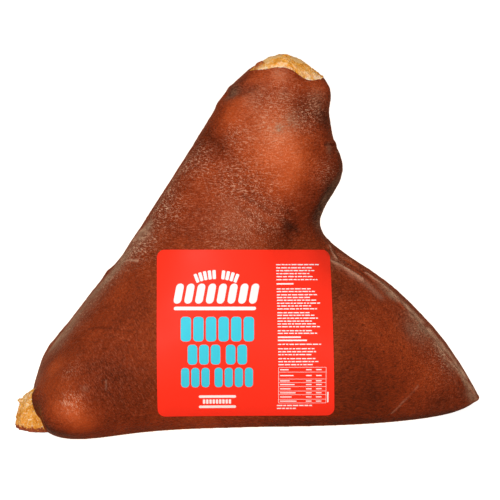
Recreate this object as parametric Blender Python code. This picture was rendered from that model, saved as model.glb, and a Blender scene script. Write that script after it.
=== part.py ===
"""A cooked half leg of ham on the bone, standing on its cut face with the shank up, and its stick-on label."""

import math

import bmesh
import bpy
import numpy as np
from mathutils import Vector, noise

# Driving sizes, in metres. X runs across the leg, -Y faces the label, Z is up.
CUT_HEIGHT = 0.2340
RINGS = 46
POINTS_AROUND = 72

# Outline of the leg seen from the front: pairs of height and X.
# The left edge is the shin and the knee, the right edge the heel and the back of the thigh.
LEFT_EDGE = (
    (0.000, -0.1330),
    (0.007, -0.1420),
    (0.020, -0.1410),
    (0.036, -0.1342),
    (0.060, -0.1180),
    (0.084, -0.0995),
    (0.109, -0.0780),
    (0.140, -0.0600),
    (0.173, -0.0388),
    (0.213, -0.0143),
    (0.224, -0.0070),
    (0.230, -0.0012),
    (CUT_HEIGHT, 0.0030),
)
RIGHT_EDGE = (
    (0.000, 0.1445),
    (0.003, 0.1518),
    (0.0065, 0.1565),
    (0.0095, 0.1545),
    (0.019, 0.1492),
    (0.035, 0.1390),
    (0.059, 0.1205),
    (0.084, 0.0931),
    (0.102, 0.0663),
    (0.114, 0.0525),
    (0.124, 0.0475),
    (0.135, 0.0510),
    (0.150, 0.0585),
    (0.175, 0.0573),
    (0.190, 0.0556),
    (0.202, 0.0536),
    (0.213, 0.0556),
    (0.224, 0.0545),
    (0.230, 0.0518),
    (CUT_HEIGHT, 0.0490),
)
# Half the leg's depth: pairs of height and depth.
HALF_DEPTH = (
    (0.000, 0.0560),
    (0.008, 0.0640),
    (0.030, 0.0720),
    (0.060, 0.0700),
    (0.095, 0.0590),
    (0.125, 0.0480),
    (0.160, 0.0380),
    (0.195, 0.0310),
    (0.215, 0.0280),
    (0.226, 0.0250),
    (CUT_HEIGHT, 0.0200),
)
MIDDLE_DEPTH = 0.016  # Y of the leg's middle
BACK_SHARE = 1.08  # the back is this much deeper than the front
# The shin side is blunt, most of all at the knee: pairs of height and fullness.
LEFT_FULLNESS = ((0.000, 3.5), (0.030, 3.0), (0.080, 2.6), (CUT_HEIGHT, 2.6))
RIGHT_FULLNESS = 1.95  # the back of the thigh tapers to an edge
LEFT_TURN = 0.16  # how far the thigh's left end comes forward for each metre across
RIGHT_TURN = -0.042  # the same for its right end, which comes forward less
TURN_BEND = 0.040  # the two meet in a bend this wide
TURN_ENDS = (0.060, 0.170)  # the turn fades out between these heights

# The cut across the shank steps down from the shin side to the heel side.
CUT_STEP = (0.024, 0.043, 0.0102)  # from X, to X, drop
CUT_SHOULDER = (0.002, 0.020, 0.0035)  # the same at the shin side
CUT_REACH = 0.195  # the step fades out below this height

# Swells and dimples: centre, reach along each axis, and the push at the centre.
SWELLS = {
    "knee": ((-0.119, -0.050, 0.018), (0.042, 0.045, 0.046), (-0.001, -0.032, 0.0)),
    "heel": ((0.058, 0.014, 0.1650), (0.030, 0.032, 0.0125), (0.0054, 0.0, 0.0)),
    "below_rim": ((0.040, -0.012, 0.202), (0.011, 0.020, 0.010), (0.0, 0.0040, 0.0)),
    "calf": ((0.018, -0.030, 0.170), (0.026, 0.030, 0.022), (0.0, -0.0045, 0.0)),
    "shin_dimple": ((-0.020, -0.008, 0.176), (0.011, 0.020, 0.009), (0.001, 0.0045, 0.0)),
    "ankle_dimple": ((0.031, -0.036, 0.118), (0.013, 0.030, 0.010), (0.0, 0.0060, 0.0)),
    "thigh": ((0.075, -0.050, 0.045), (0.050, 0.045, 0.040), (0.0, -0.0070, 0.0)),
    "flank": ((-0.030, -0.060, 0.060), (0.060, 0.045, 0.045), (0.0, -0.0040, 0.0)),
    "shoulder": ((-0.079, 0.010, 0.112), (0.016, 0.040, 0.010), (-0.0018, 0.0, 0.0)),
    "knee_cap": ((-0.134, 0.000, 0.038), (0.018, 0.050, 0.010), (-0.0025, 0.0, 0.0)),
}
# Creases: the points that each follows, its half width and its depth.
CREASES = {
    "above_heel": (((0.044, 0.000, 0.1735), (0.053, 0.004, 0.1752), (0.060, 0.014, 0.1757)), 0.0028, 0.0030),
    "web": (((0.048, -0.006, 0.122), (0.062, -0.014, 0.103), (0.080, -0.018, 0.084)), 0.0060, 0.0035),
}
UNEVENNESS = ((0.050, 0.0012), (0.017, 0.0005))  # scale and height of the rind's slow waves

# The flesh inside the rim of the shank, and the lobe of fat past the rind at the knee.
FLESH_DOME = 0.0035
FAT_CENTRE = (-0.1350, -0.0310, 0.0055)
FAT_REACH = (0.0180, 0.0230, 0.0195)
FAT_FLOOR = 0.0006
FAT_CRAGS = ((0.0090, 0.0022), (0.0035, 0.0010))  # scale and height

# The bone: pairs of height and X of its middle, and of height and radius.
BONE_LINE = ((0.000, -0.0420), (0.050, -0.0340), (0.110, -0.0120), (0.170, 0.0090), (0.2400, 0.0278))
BONE_RADIUS = (
    (0.000, 0.0150),
    (0.030, 0.0135),
    (0.090, 0.0110),
    (0.150, 0.0105),
    (0.195, 0.0130),
    (0.218, 0.0165),
    (0.2265, 0.0175),
)
BONE_DEPTH = 0.85  # depth of its section against its width
BONE_FOOT = 0.0005
BONE_RINGS = 16
BONE_POINTS = 24
HEAD_LEVEL = 0.2265  # where the domed end starts
HEAD_RISE = 0.0110
HEAD_FULLNESS = 0.9  # 1 makes the domed end half an ellipse, and less makes it blunter
HEAD_RINGS = 6
HEAD_TILT = 0.06  # the domed end falls towards the heel
HEAD_CRAGS = (0.0080, 0.0007)
BONE_ROOM = 0.0004  # gap between bone and flesh
ROOM_BELOW = 0.0060

# The label on the front, laid on square to a line that comes down onto the leg at LABEL_SLOPE degrees.
LABEL_LEFT, LABEL_RIGHT = -0.0590, 0.0565
LABEL_LOW, LABEL_HIGH = -0.0002, 0.1078
LABEL_SLOPE = 12.0
LABEL_CORNER = 0.0050
LABEL_CORNER_STEPS = 4
LABEL_MARGIN = 0.020
LABEL_LIFT = 0.0004
LABEL_THICKNESS = 0.0004

RIND_COLOUR = (0.235, 0.052, 0.018, 1.0)
FAT_COLOUR = (0.640, 0.340, 0.095, 1.0)
BONE_COLOUR = (0.700, 0.430, 0.160, 1.0)
LABEL_COLOUR = (0.900, 0.045, 0.025, 1.0)


def smooth_step(low, high, value):
    share = np.clip((value - low) / (high - low), 0.0, 1.0)
    return share * share * (3.0 - 2.0 * share)


def along(pairs, at):
    """A smooth curve through the pairs, read at one height."""
    xs = np.array([pair[0] for pair in pairs])
    ys = np.array([pair[1] for pair in pairs])
    slopes = np.gradient(ys, xs)
    at = min(max(at, xs[0]), xs[-1])
    i = min(int(np.searchsorted(xs, at, side="right")) - 1, len(xs) - 2)
    step = xs[i + 1] - xs[i]
    t = (at - xs[i]) / step
    start = (1 + 2 * t) * (1 - t) ** 2 * ys[i] + t * (1 - t) ** 2 * step * slopes[i]
    end = t * t * (3 - 2 * t) * ys[i + 1] + t * t * (t - 1) * step * slopes[i + 1]
    return start + end


def waves(point, layers):
    """Sum of smooth noise layers, each with its own scale and height."""
    return sum(height * noise.noise(Vector(point) / scale) for scale, height in layers)


def material(name, colour, roughness):
    made = bpy.data.materials.new(name)
    made.use_nodes = True
    shader = made.node_tree.nodes["Principled BSDF"]
    shader.inputs["Base Color"].default_value = colour
    shader.inputs["Roughness"].default_value = roughness
    shader.inputs["Metallic"].default_value = 0.0
    return made


def object_from(bm, name, *materials):
    """Turns a bmesh into a named, smooth object with its normals outwards."""
    bmesh.ops.recalc_face_normals(bm, faces=bm.faces)
    mesh = bpy.data.meshes.new(name)
    bm.to_mesh(mesh)
    bm.free()
    mesh.shade_smooth()
    mesh.set_sharp_from_angle(angle=math.radians(50))
    for each in materials:
        mesh.materials.append(each)
    made = bpy.data.objects.new(name, mesh)
    bpy.context.scene.collection.objects.link(made)
    return made


def add_rings(bm, rings):
    """Adds the rings' points and the faces between each ring and the next."""
    loops = [[bm.verts.new(point) for point in ring] for ring in rings]
    for low, high in zip(loops, loops[1:]):
        for i in range(len(low)):
            j = (i + 1) % len(low)
            bm.faces.new((low[i], low[j], high[j], high[i]))
    return loops


def close_with_point(bm, loop, point):
    """Closes a ring with a fan of triangles round one point."""
    tip = bm.verts.new(point)
    return [bm.faces.new((loop[i], loop[(i + 1) % len(loop)], tip)) for i in range(len(loop))]


def cut_drop(x):
    """How far the shank's cut lies below its highest edge, at this X."""
    start, end, drop = CUT_STEP
    shoulder_start, shoulder_end, shoulder_drop = CUT_SHOULDER
    step = drop * smooth_step(start, end, x)
    return step + shoulder_drop * (1.0 - smooth_step(shoulder_start, shoulder_end, x))


def leg_ring(height):
    """The points of one level section of the leg, before its relief."""
    left = along(LEFT_EDGE, height)
    right = along(RIGHT_EDGE, height)
    middle = (left + right) / 2
    half_width = (right - left) / 2
    depth = along(HALF_DEPTH, height)
    left_fullness = along(LEFT_FULLNESS, height)
    turn_share = 1.0 - smooth_step(*TURN_ENDS, height)
    turn_mean = turn_share * (RIGHT_TURN + LEFT_TURN) / 2
    turn_change = turn_share * (RIGHT_TURN - LEFT_TURN) / 2
    cut_share = smooth_step(CUT_REACH, CUT_HEIGHT, height)
    ring = []
    for i in range(POINTS_AROUND):
        angle = math.tau * i / POINTS_AROUND
        across, deep = math.cos(angle), math.sin(angle)
        power = 2.0 / (RIGHT_FULLNESS if across > 0 else left_fullness)
        out = half_width * math.copysign(abs(across) ** power, across)
        y = math.copysign(abs(deep) ** power, deep) * depth * (BACK_SHARE if deep > 0 else 1.0)
        y += turn_mean * out + turn_change * (math.hypot(out, TURN_BEND) - TURN_BEND)
        x = middle + out
        ring.append((x, MIDDLE_DEPTH + y, height - cut_share * cut_drop(x)))
    return ring


def ring_heights():
    """Heights of the sections, closer together near the base and near the cut."""
    heights = []
    for i in range(RINGS):
        t = i / (RINGS - 1)
        eased = (1.0 - math.cos(math.pi * t)) / 2
        heights.append(CUT_HEIGHT * (0.6 * t + 0.4 * eased))
    return heights


def distance_to_path(point, path):
    """Distance from a point to a line through several points, and the share of the way along it."""
    best = (math.inf, 0.0)
    for i, (a, b) in enumerate(zip(path, path[1:])):
        start, run = Vector(a), Vector(b) - Vector(a)
        t = min(max((point - start).dot(run) / run.length_squared, 0.0), 1.0)
        best = min(best, ((point - start - run * t).length, (i + t) / (len(path) - 1)))
    return best


def relief(point, normal):
    """How the rind's swells, dimples, creases and slow waves move a point of the leg."""
    move = Vector()
    for centre, reach, push in SWELLS.values():
        away = [(p - c) / r for p, c, r in zip(point, centre, reach)]
        move += Vector(push) * math.exp(-sum(a * a for a in away))
    for path, half_width, depth in CREASES.values():
        distance, share = distance_to_path(point, path)
        fade = math.sin(math.pi * (0.15 + 0.7 * share))
        move -= normal * depth * fade * math.exp(-((distance / half_width) ** 2))
    move += normal * waves(point, UNEVENNESS)
    move.z *= float(smooth_step(0.0, 0.012, point.z))
    return move


def build_leg(rind, fat):
    """The rind-covered leg: level sections, closed by the flat cut face and by the flesh in the shank."""
    bm = bmesh.new()
    loops = add_rings(bm, [leg_ring(height) for height in ring_heights()])
    base = bm.faces.new(list(reversed(loops[0])))
    rim = loops[-1]
    centre = sum((vert.co for vert in rim), Vector()) / len(rim)
    inner = rim
    flesh = []
    for share in (0.8, 0.5, 0.22):
        rise = Vector((0, 0, FLESH_DOME * (1 - share * share)))
        ring = [bm.verts.new(centre + (vert.co - centre) * share + rise) for vert in rim]
        for i in range(len(ring)):
            j = (i + 1) % len(ring)
            flesh.append(bm.faces.new((inner[i], inner[j], ring[j], ring[i])))
        inner = ring
    flesh += close_with_point(bm, inner, centre + Vector((0, 0, FLESH_DOME)))
    for face in flesh + [base]:
        face.material_index = 1
    bm.normal_update()
    for vert in bm.verts:
        vert.co += relief(vert.co.copy(), vert.normal.copy())
    return object_from(bm, "ham", rind, fat)


def build_fat(fat):
    """The rough lobe of fat that stands out past the rind beside the knee."""
    bm = bmesh.new()
    bmesh.ops.create_icosphere(bm, subdivisions=3, radius=1.0)
    for vert in bm.verts:
        direction = vert.co.normalized()
        point = Vector([c + d * r for c, d, r in zip(FAT_CENTRE, direction, FAT_REACH)])
        point += direction * waves(point, FAT_CRAGS)
        point.z = max(point.z, FAT_FLOOR)
        vert.co = point
    return object_from(bm, "fat_lobe", fat)


def bone_rings(room):
    """Level sections of the bone from its foot to its domed end, widened by the room asked for."""
    rings = []

    def ring_at(height, radius, lift):
        x_middle = along(BONE_LINE, height)
        ring = []
        for i in range(BONE_POINTS):
            angle = math.tau * i / BONE_POINTS
            x = radius * math.cos(angle)
            y = radius * BONE_DEPTH * math.sin(angle)
            tilt = -HEAD_TILT * x * smooth_step(HEAD_LEVEL - 0.03, HEAD_LEVEL, height)
            point = Vector((x_middle + x, MIDDLE_DEPTH + y, height + lift + tilt))
            ring.append(point + Vector((x, y, 0)).normalized() * waves(point, [HEAD_CRAGS]))
        return ring

    for i in range(BONE_RINGS):
        height = BONE_FOOT + (HEAD_LEVEL - BONE_FOOT) * i / (BONE_RINGS - 1)
        rings.append(ring_at(height, along(BONE_RADIUS, height) + room, 0.0))
    if room:
        rings.insert(0, [point - Vector((0, 0, ROOM_BELOW)) for point in rings[0]])
    for i in range(1, HEAD_RINGS):
        angle = math.pi / 2 * i / HEAD_RINGS
        rise = (HEAD_RISE + room) * math.sin(angle)
        radius = (along(BONE_RADIUS, HEAD_LEVEL) + room) * math.cos(angle) ** HEAD_FULLNESS
        rings.append(ring_at(HEAD_LEVEL, radius, rise))
    return rings


def build_bone(name, room, bone):
    bm = bmesh.new()
    loops = add_rings(bm, bone_rings(room))
    bm.faces.new(list(reversed(loops[0])))
    top = Vector((along(BONE_LINE, HEAD_LEVEL), MIDDLE_DEPTH, HEAD_LEVEL + HEAD_RISE + room))
    close_with_point(bm, loops[-1], top)
    return object_from(bm, name, bone)


def label_outline():
    """The flat label's outline with round corners: pairs of X and height, in order round it."""
    corners = (
        (LABEL_RIGHT - LABEL_CORNER, LABEL_HIGH - LABEL_CORNER),
        (LABEL_LEFT + LABEL_CORNER, LABEL_HIGH - LABEL_CORNER),
        (LABEL_LEFT + LABEL_CORNER, LABEL_LOW + LABEL_CORNER),
        (LABEL_RIGHT - LABEL_CORNER, LABEL_LOW + LABEL_CORNER),
    )
    outline = []
    for quarter, (x, height) in enumerate(corners):
        for i in range(LABEL_CORNER_STEPS + 1):
            angle = math.pi / 2 * (quarter + i / LABEL_CORNER_STEPS)
            outline.append((x + LABEL_CORNER * math.cos(angle), height + LABEL_CORNER * math.sin(angle)))
    return outline


def build_label_outline(label):
    """A prism with the label's outline, long enough to pass through the front of the leg."""
    slope = math.radians(LABEL_SLOPE)
    press = Vector((0, math.cos(slope), -math.sin(slope)))
    upward = Vector((0, math.sin(slope), math.cos(slope)))
    ends = []
    for reach in (-0.20, 0.05):
        ends.append([Vector((x, 0, 0)) + upward * height + press * reach for x, height in label_outline()])
    bm = bmesh.new()
    front, back = add_rings(bm, ends)
    bm.faces.new(list(reversed(front)))
    bm.faces.new(back)
    return object_from(bm, "label_outline", label)


def build_label(leg, label):
    """The sheet of the label: the front of the leg's skin, lifted off it and thickened away from it."""
    bm = bmesh.new()
    bm.from_mesh(leg.data)
    bm.normal_update()
    for vert in bm.verts:
        vert.co += vert.normal * LABEL_LIFT
    behind = []
    for face in bm.faces:
        x, y, z = face.calc_center_median()
        near = LABEL_LEFT - LABEL_MARGIN < x < LABEL_RIGHT + LABEL_MARGIN and 0.001 < z < LABEL_HIGH + LABEL_MARGIN
        if face.normal.y > -0.1 or not near:
            behind.append(face)
        face.material_index = 0
    bmesh.ops.delete(bm, geom=behind, context="FACES")
    made = object_from(bm, "label", label)
    thickness = made.modifiers.new("thickness", "SOLIDIFY")
    thickness.thickness = LABEL_THICKNESS
    thickness.offset = 1.0
    return made


def hide_helper(helper):
    helper.hide_render = True
    helper.display_type = "WIRE"


def boolean(target, helper, operation):
    change = target.modifiers.new(helper.name, "BOOLEAN")
    change.object = helper
    change.operation = operation
    change.solver = "EXACT"


def stand_on_origin(objects):
    """Moves the model so that its box is centred over the origin and rests on Z = 0."""
    bpy.context.view_layer.update()
    graph = bpy.context.evaluated_depsgraph_get()
    corners = []
    for each in objects:
        if not each.hide_render:
            corners += [vert.co.copy() for vert in each.evaluated_get(graph).data.vertices]
    low = np.min(corners, axis=0)
    high = np.max(corners, axis=0)
    shift = Vector((-(low[0] + high[0]) / 2, -(low[1] + high[1]) / 2, -low[2]))
    for each in objects:
        each.location = shift


def main():
    for old in list(bpy.data.objects):
        bpy.data.objects.remove(old)
    rind = material("rind", RIND_COLOUR, 0.42)
    fat = material("exposed_fat", FAT_COLOUR, 0.55)
    bone = material("bone", BONE_COLOUR, 0.60)
    paper = material("label_paper", LABEL_COLOUR, 0.50)
    leg = build_leg(rind, fat)
    label = build_label(leg, paper)
    outline = build_label_outline(paper)
    lobe = build_fat(fat)
    room = build_bone("bone_room", BONE_ROOM, fat)
    leg_bone = build_bone("leg_bone", 0.0, bone)
    for helper in (outline, lobe, room):
        hide_helper(helper)
    boolean(label, outline, "INTERSECT")
    boolean(leg, lobe, "UNION")
    boolean(leg, room, "DIFFERENCE")
    stand_on_origin([leg, label, outline, lobe, room, leg_bone])


main()
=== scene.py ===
# Looks of a cooked half leg of ham on the bone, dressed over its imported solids.
import math

import bmesh
import bpy
import numpy as np
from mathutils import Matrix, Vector, noise
from mathutils.bvhtree import BVHTree
from mathutils.kdtree import KDTree


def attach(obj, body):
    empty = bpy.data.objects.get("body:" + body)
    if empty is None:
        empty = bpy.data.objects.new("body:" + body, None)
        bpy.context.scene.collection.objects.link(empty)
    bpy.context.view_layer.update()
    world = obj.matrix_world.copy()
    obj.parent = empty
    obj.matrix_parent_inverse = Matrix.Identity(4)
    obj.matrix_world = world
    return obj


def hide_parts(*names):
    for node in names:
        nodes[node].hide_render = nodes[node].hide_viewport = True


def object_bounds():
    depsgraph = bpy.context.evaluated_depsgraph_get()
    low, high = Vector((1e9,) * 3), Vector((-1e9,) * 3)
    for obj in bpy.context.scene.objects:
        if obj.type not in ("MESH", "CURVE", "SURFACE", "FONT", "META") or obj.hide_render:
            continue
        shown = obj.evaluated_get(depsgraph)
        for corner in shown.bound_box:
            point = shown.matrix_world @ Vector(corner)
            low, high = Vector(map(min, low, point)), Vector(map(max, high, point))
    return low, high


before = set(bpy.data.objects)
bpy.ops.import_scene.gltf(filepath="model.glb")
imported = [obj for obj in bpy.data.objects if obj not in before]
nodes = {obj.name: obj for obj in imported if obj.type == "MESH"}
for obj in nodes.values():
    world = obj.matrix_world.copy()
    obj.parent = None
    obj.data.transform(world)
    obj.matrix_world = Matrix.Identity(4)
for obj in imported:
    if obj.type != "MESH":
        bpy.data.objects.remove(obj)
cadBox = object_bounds()
print("frame loaded:", sorted(nodes))

# The camera stands in front of the label and looks down on the ham a little, through a long lens.
camera = {
    "elevation": 12.0,
    "distance": 2.0,
    "aim": (-0.0004, -0.0045, 0.11),
    "pictureWidth": 0.33,
    "pictureSide": 500,
    "sensor": 36.0,
}
elevation = math.radians(camera["elevation"])
lookWay = Vector((0, math.cos(elevation), -math.sin(elevation)))
lookUp = Vector((0, math.sin(elevation), math.cos(elevation)))
cameraPlace = Vector(camera["aim"]) - lookWay * camera["distance"]


# The direction from the camera through one point of the picture.
def sightLine(px, py):
    step = camera["pictureWidth"] / camera["pictureSide"]
    half = camera["pictureSide"] / 2
    aim = Vector(camera["aim"]) + Vector(((px - half) * step, 0, 0)) + lookUp * (half - py) * step
    return (aim - cameraPlace).normalized()


# Points, normals and edges of a mesh as arrays.
def meshArrays(mesh):
    points = np.empty(len(mesh.vertices) * 3, np.float32)
    mesh.vertices.foreach_get("co", points)
    normals = np.empty(len(mesh.vertices) * 3, np.float32)
    mesh.vertex_normals.foreach_get("vector", normals)
    edges = np.empty(len(mesh.edges) * 2, np.int32)
    mesh.edges.foreach_get("vertices", edges)
    return points.reshape(-1, 3).astype(float), normals.reshape(-1, 3).astype(float), edges.reshape(-1, 2)


def setPoints(mesh, points):
    mesh.vertices.foreach_set("co", points.astype(np.float32).ravel())
    mesh.update()


def setMask(mesh, name, values):
    mask = mesh.attributes.new(name, "FLOAT", "POINT")
    mask.data.foreach_set("value", np.asarray(values, np.float32))


def smoothStep(low, high, value):
    share = np.clip((np.asarray(value, float) - low) / (high - low), 0.0, 1.0)
    return share * share * (3.0 - 2.0 * share)


# Points drawn towards their neighbours, each as far as its freedom from 0 to 1 lets it go.
def relaxed(points, edges, steps, freedom):
    count = np.bincount(edges.ravel(), minlength=len(points)).clip(1)[:, None]
    for _ in range(steps):
        total = np.zeros_like(points)
        for axis in range(3):
            for a, b in ((0, 1), (1, 0)):
                total[:, axis] += np.bincount(edges[:, a], points[edges[:, b], axis], len(points))
        points = points + (total / count - points) * (0.5 * freedom)[:, None]
    return points


# Smooth noise from -1 to 1 at every point. The scale is the size of its bumps in metres.
def waves(points, scale, seed=0.0, stretch=(1, 1, 1)):
    offset = Vector((seed, seed * 1.7, seed * 0.6))
    spots = points / (np.array(stretch, float) * scale)
    return np.array([noise.noise(Vector(spot) + offset) for spot in spots])


def newObject(name, data):
    made = bpy.data.objects.new(name, data)
    bpy.context.scene.collection.objects.link(made)
    return made


# A named, smooth piece that rides with the ham's one body.
def pieceFrom(mesh, name, slot, *materials):
    mesh.name = name
    mesh.shade_smooth()
    for each in materials:
        mesh.materials.append(each)
    piece = newObject(name, mesh)
    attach(piece, "root")
    return piece


# A copy of a closed mesh in even squares of about the voxel's size.
def remeshed(mesh, voxel):
    helper = newObject("remeshHelper", mesh)
    change = helper.modifiers.new("voxels", "REMESH")
    change.mode = "VOXEL"
    change.voxel_size = voxel
    graph = bpy.context.evaluated_depsgraph_get()
    made = bpy.data.meshes.new_from_object(helper.evaluated_get(graph))
    bpy.data.objects.remove(helper)
    return made


# A tree of the mesh's faces, to lay other things on.
def surfaceOf(mesh):
    bm = bmesh.new()
    bm.from_mesh(mesh)
    tree = BVHTree.FromBMesh(bm)
    bm.free()
    return tree


# The ham's mesh without its bore for the bone, closed again at both ends.
def solidHam():
    bone = surfaceOf(nodes["leg_bone"].data)
    bm = bmesh.new()
    bm.from_mesh(nodes["ham"].data)
    bmesh.ops.remove_doubles(bm, verts=bm.verts, dist=1e-6)
    bm.normal_update()
    bore = []
    for face in bm.faces:
        middle = face.calc_center_median()
        near, _, _, distance = bone.find_nearest(middle, rindShape["boreReach"])
        if near is not None and (near - middle).normalized().dot(face.normal) > 0.5:
            bore.append(face)
    bmesh.ops.delete(bm, geom=bore, context="FACES")
    bmesh.ops.holes_fill(bm, edges=[edge for edge in bm.edges if edge.is_boundary], sides=0)
    bmesh.ops.triangulate(bm, faces=bm.faces)
    mesh = bpy.data.meshes.new("solidHam")
    bm.to_mesh(mesh)
    bm.free()
    return mesh


# The rind. Places are points of the picture, 500 by 500, and lie on the skin that the camera sees there.
rindShape = {
    "voxel": 0.001,
    "smoothing": 70,
    "shankCentre": (0.0228, 0.0115),
    "shankReach": (0.0256, 0.02),
    "rimDrop": 0.0015,
    "rimFront": (-0.006, 0.014),
    "rimLeft": (0.001, 0.01),
    "cutSink": 0.002,
    "boreReach": 0.0012,
    "lipPlace": 2.1,
    # where an effect starts and is full, as heights or, for the cut, as shares of its reach
    "zones": {
        "foot": (0.0004, 0.004),
        "shank": (0.206, 0.224),
        "walls": (0.0005, 0.006),
        "shinLow": (0.03, 0.09),
        "shinHigh": (0.2, 0.22),
        "cut": (0.9, 0.97),
        "cutHeight": (0.205, 0.214),
        "rim": (0.214, 0.226),
    },
    "shankFreedom": 0.25,
    "unevenness": ((0.026, 0.0004), (0.009, 0.00022), (0.0038, 0.0001)),
    "wrinkles": {"height": 0.00016, "scale": 0.003, "stretch": (3.2, 2.0, 1.0), "width": 0.35},
    # each fold: its path, half width and depth in metres, and how far it stands proud beside the groove
    "folds": {
        "aboveHeel": (((325, 144.5), (329, 143.8), (337, 144)), 0.001, 0.0012, 0.7),
        "aboveHeelFade": (((300, 152), (310, 151), (320, 149.5)), 0.002, 0.0006, 0.2),
        "underRim": (((221, 95), (230, 94), (240, 91.5), (252, 87)), 0.0032, 0.002, 0.5),
        "shinCrease": (((88, 328.5), (104, 327.5), (131, 331)), 0.0009, 0.0005, 0.4),
        "shinCreaseLow": (((72, 342), (82, 340.5), (92, 341)), 0.001, 0.0004, 0.4),
        "webGroove": (((338, 254), (350, 262), (362, 270), (372, 279)), 0.003, 0.0013, 0.3),
        "webEnd": (((329, 246), (332, 252), (336, 259)), 0.0012, -0.0009, 0.0),
        "webLow": (((331, 260.5), (341, 266.5), (352, 273), (362, 279.5)), 0.0013, -0.0016, 0.0),
        "webTop": (((366, 272.5), (380, 284), (392, 293), (404, 308), (418, 323)), 0.0015, -0.0011, 0.0),
        "thighLine": (((436, 343), (446, 357), (460, 375), (475, 395)), 0.0014, -0.0008, 0.0),
        "shinFold": (((186, 148), (200, 142), (222, 140)), 0.002, 0.0007, 0.3),
        "shinFoldLow": (((178, 160), (196, 152), (218, 150)), 0.0018, 0.0005, 0.3),
        "streak": (((126, 262), (133, 262), (141, 258)), 0.002, -0.0006, 0.0),
    },
    # each dent or swell: its place, radius and push in metres
    "dents": {
        "shinDimple": (218, 144, 0.0085, -0.0012),
        "ankleDimple": (292, 233, 0.008, -0.002),
        "rimHollow": (303, 104, 0.008, -0.0016),
        "rimSwell": (327, 88, 0.0045, 0.0016),
        "shankSwell": (278, 140, 0.016, 0.0008),
        "kneeSwell": (76, 408, 0.014, 0.0012),
        "kneeHollow": (106, 384, 0.012, -0.001),
        "bandSwell": (243, 104, 0.007, 0.0009),
        "bandEdge": (223, 100, 0.006, 0.0013),
        "kneeFoot": (37, 422, 0.0075, -0.0048),
        "tipNotch": (472.5, 403, 0.0022, -0.0026),
        "tipEdge": (477, 397.5, 0.0026, 0.0016),
        "tipNotchLow": (462, 408.5, 0.0022, -0.001),
        "kneeEdge": (34, 399, 0.007, 0.0026),
        "shinBumpTop": (134, 240, 0.0042, 0.001),
        "shinBumpMiddle": (108, 272, 0.0046, 0.001),
        "shinBumpLow": (51, 345, 0.0052, 0.0011),
        "shinHollowLow": (64, 325, 0.006, -0.0006),
    },
}


# Distance of every point from a line through several places.
def pathDistance(points, path):
    best = np.full(len(points), np.inf)
    for a, b in zip(path, path[1:]):
        start, run = np.array(a), np.array(b) - np.array(a)
        t = np.clip((points - start) @ run / (run @ run), 0.0, 1.0)
        best = np.minimum(best, np.linalg.norm(points - start - t[:, None] * run, axis=1))
    return best


# The point of the skin that the camera sees at one point of the picture, or the nearest past its outline.
def placeOn(skin, px, py):
    line = sightLine(px, py)
    place, _, _, _ = skin.ray_cast(cameraPlace, line)
    if place is None:
        place, _, _, _ = skin.find_nearest(cameraPlace + line * camera["distance"])
    return np.array(place)


# How far a point is from the middle of the shank's cut, against the cut's edge.
def shankShare(points):
    x, y = rindShape["shankCentre"]
    wide, deep = rindShape["shankReach"]
    return np.hypot((points[:, 0] - x) / wide, (points[:, 1] - y) / deep)


# 1 at the front and the left of the shank, where the rim of the rind is lower, 0 at the back.
def rimShare(points):
    front = 1.0 - smoothStep(*rindShape["rimFront"], points[:, 1])
    left = 1.0 - smoothStep(*rindShape["rimLeft"], points[:, 0])
    return np.maximum(front, left)


fat = {
    "centre": (-0.137, -0.0366, 0.0055),
    "reach": (0.018, 0.025, 0.0212),
    "edge": (1.04, 1.16),
    "lean": 0.26,
    "fullness": 0.86,
    "subdivisions": 6,
    "shrink": 0.99,
    "cragLevel": 0.25,
    "clearance": 0.0006,
    "tuckUnder": 0.3,
    "crags": ((0.009, 0.0013), (0.004, 0.0009), (0.0019, 0.0008), (0.0011, 0.0006)),
    "spike": {"place": (-0.1502, -0.0366, 0.0156), "radius": 0.0015, "length": 0.0038},
}


# 1 inside the lobe of fat beside the knee, 0 away from it.
def fatShare(points):
    away = np.linalg.norm((points - np.array(fat["centre"])) / np.array(fat["reach"]), axis=1)
    return 1.0 - smoothStep(*fat["edge"], away)


label = {
    "left": -0.061,
    "right": 0.0545,
    "low": -0.0002,
    "high": 0.1078,
    "corner": 0.005,
    "drawIn": 0.0024,
    "drawInLeft": 0.001,
    "middle": (0.0, -0.0045, 0.0),
    "step": 0.0012,
    "lift": 0.00035,
    "thickness": 0.0003,
    "cut": 0.0024,
    "sharpAngle": 35.0,
    "evening": 6,
    "press": 0.85,
    "pressZone": (-0.002, 0.001),
    "deepest": 0.02,
    "margin": 4,
}


# 1 under the label, 0 away from it.
def labelShare(points):
    across = points[:, 0]
    height = (points - np.array(label["middle"])) @ np.array(lookUp)
    inside = np.minimum.reduce(
        [across - label["left"], label["right"] - across, height - label["low"], label["high"] - height]
    )
    return smoothStep(*label["pressZone"], inside) * (points[:, 1] < label["deepest"])


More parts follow.
